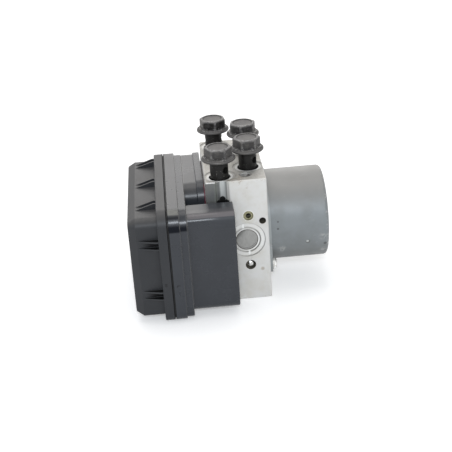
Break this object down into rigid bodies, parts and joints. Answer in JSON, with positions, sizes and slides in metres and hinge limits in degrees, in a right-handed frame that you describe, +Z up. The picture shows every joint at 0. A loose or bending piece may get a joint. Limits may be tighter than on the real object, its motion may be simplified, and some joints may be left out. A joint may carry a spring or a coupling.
{
  "type": "anti-lock brake module",
  "caption": "Motorcycle anti-lock brake module: an aluminium valve block with banjo bolts on top, a pump motor on one side and a black plastic controller on the other.",
  "frame": {"origin": "centre of the valve block's bottom face, on which it rests", "axes": "+X from the controller to the motor, +Y from the socket side to the back, +Z up towards the hose ports"},
  "size_m": [0.1103, 0.097, 0.0894],
  "materials": {
    "block_aluminium": "milled and tumbled, matte silver with a little grime on top",
    "controller_plastic": "moulded charcoal black, semi-gloss",
    "motor_coat": "grey-blue coated steel, satin, lightly scuffed",
    "bolt_phosphate": "black phosphate on steel, worn grey at the edges",
    "plug_steel": "turned steel, satin",
    "yellow_zinc": "yellow zinc plate",
    "screw_steel": "bright zinc plate",
    "seal_red": "dark red silicone",
    "seal_black": "black sealant bead",
    "board_green": "solder mask",
    "chip_black": "moulded epoxy",
    "capacitor_sleeve": "bright can",
    "pin_tin": "tinned brass",
    "coil_black": "moulded coil body",
    "valve_steel": "ground steel",
    "spring_steel": "spring wire",
    "piston_steel": "ground and hardened steel",
    "piston_aluminium": "hard anodised",
    "magnet_ferrite": "sintered ferrite",
    "lamination_steel": "stacked sheet steel",
    "winding_copper": "enamelled copper and bronze",
    "brush_carbon": "pressed carbon",
    "holder_plastic": "glass-filled moulding"
  },
  "bodies": {
    "unit": {"valve_block": "block_aluminium", "controller_housing": "controller_plastic", "controller_cover": "controller_plastic", "motor_can": "motor_coat", "banjo_bolt_front_left": "bolt_phosphate", "banjo_bolt_front_right": "bolt_phosphate", "banjo_bolt_rear_left": "bolt_phosphate", "banjo_bolt_rear_right": "bolt_phosphate", "pump_plug_front": "plug_steel", "pump_plug_rear": "plug_steel", "bore_plugs": "plug_steel", "sealing_balls": "plug_steel", "accumulator_caps": "plug_steel", "orifice_sleeves": "yellow_zinc", "motor_screws": "screw_steel", "controller_screws": "screw_steel", "block_seal": "seal_red", "cover_seal": "seal_black", "circuit_board": "board_green", "control_chips": "chip_black", "capacitor": "capacitor_sleeve", "connector_pins": "pin_tin", "motor_contact": "pin_tin", "valve_coil_inlet_front": "coil_black", "valve_coil_inlet_rear": "coil_black", "valve_coil_outlet_front": "coil_black", "valve_coil_outlet_rear": "coil_black", "valve_body_inlet_front": "valve_steel", "valve_body_inlet_rear": "valve_steel", "valve_body_outlet_front": "valve_steel", "valve_body_outlet_rear": "valve_steel", "valve_spring_inlet_front": "spring_steel", "valve_spring_inlet_rear": "spring_steel", "valve_spring_outlet_front": "spring_steel", "valve_spring_outlet_rear": "spring_steel", "pump_spring_front": "spring_steel", "pump_spring_rear": "spring_steel", "accumulator_spring_front": "spring_steel", "accumulator_spring_rear": "spring_steel", "brush_springs": "spring_steel", "drive_end_bearing": "piston_steel", "motor_magnets": "magnet_ferrite", "tail_bearing": "winding_copper", "motor_brushes": "brush_carbon", "brush_holder": "holder_plastic"},
    "rotor": {"rotor_shaft": "piston_steel", "eccentric_bearing": "piston_steel", "armature_core": "lamination_steel", "armature_winding": "winding_copper", "commutator": "winding_copper"},
    "front_pump_piston": {"pump_piston_front": "piston_steel"},
    "rear_pump_piston": {"pump_piston_rear": "piston_steel"},
    "front_accumulator_piston": {"accumulator_piston_front": "piston_aluminium"},
    "rear_accumulator_piston": {"accumulator_piston_rear": "piston_aluminium"},
    "inlet_front_plunger": {"valve_plunger_inlet_front": "valve_steel"},
    "inlet_rear_plunger": {"valve_plunger_inlet_rear": "valve_steel"},
    "outlet_front_plunger": {"valve_plunger_outlet_front": "valve_steel"},
    "outlet_rear_plunger": {"valve_plunger_outlet_rear": "valve_steel"}
  },
  "joints": [
    {"name": "rotor_spin", "type": "hinge", "parent": "unit", "child": "rotor", "pos_m": [0, 0, 0.0368], "axis": [1, 0, 0], "continuous": true},
    {"name": "front_pump_stroke", "type": "slide", "parent": "unit", "child": "front_pump_piston", "axis": [0, -1, 0], "range_m": [0, 0.0012], "stiffness_N_per_m": 1500, "springref_m": -0.002, "deforming": ["pump_spring_front"]},
    {"name": "rear_pump_stroke", "type": "slide", "parent": "unit", "child": "rear_pump_piston", "axis": [0, 1, 0], "range_m": [0, 0.0012], "stiffness_N_per_m": 1500, "springref_m": -0.002, "deforming": ["pump_spring_rear"]},
    {"name": "front_accumulator_stroke", "type": "slide", "parent": "unit", "child": "front_accumulator_piston", "axis": [0, 0, -1], "range_m": [0, 0.006], "stiffness_N_per_m": 400, "springref_m": -0.004, "deforming": ["accumulator_spring_front"]},
    {"name": "rear_accumulator_stroke", "type": "slide", "parent": "unit", "child": "rear_accumulator_piston", "axis": [0, 0, -1], "range_m": [0, 0.006], "stiffness_N_per_m": 400, "springref_m": -0.004, "deforming": ["accumulator_spring_rear"]},
    {"name": "inlet_front_lift", "type": "slide", "parent": "unit", "child": "inlet_front_plunger", "axis": [1, 0, 0], "range_m": [0, 0.0003], "stiffness_N_per_m": 800, "springref_m": -0.0006, "deforming": ["valve_spring_inlet_front"]},
    {"name": "inlet_rear_lift", "type": "slide", "parent": "unit", "child": "inlet_rear_plunger", "axis": [1, 0, 0], "range_m": [0, 0.0003], "stiffness_N_per_m": 800, "springref_m": -0.0006, "deforming": ["valve_spring_inlet_rear"]},
    {"name": "outlet_front_lift", "type": "slide", "parent": "unit", "child": "outlet_front_plunger", "axis": [-1, 0, 0], "range_m": [0, 0.0003], "stiffness_N_per_m": 800, "springref_m": -0.0006, "deforming": ["valve_spring_outlet_front"]},
    {"name": "outlet_rear_lift", "type": "slide", "parent": "unit", "child": "outlet_rear_plunger", "axis": [-1, 0, 0], "range_m": [0, 0.0003], "stiffness_N_per_m": 800, "springref_m": -0.0006, "deforming": ["valve_spring_outlet_rear"]}
  ]
}
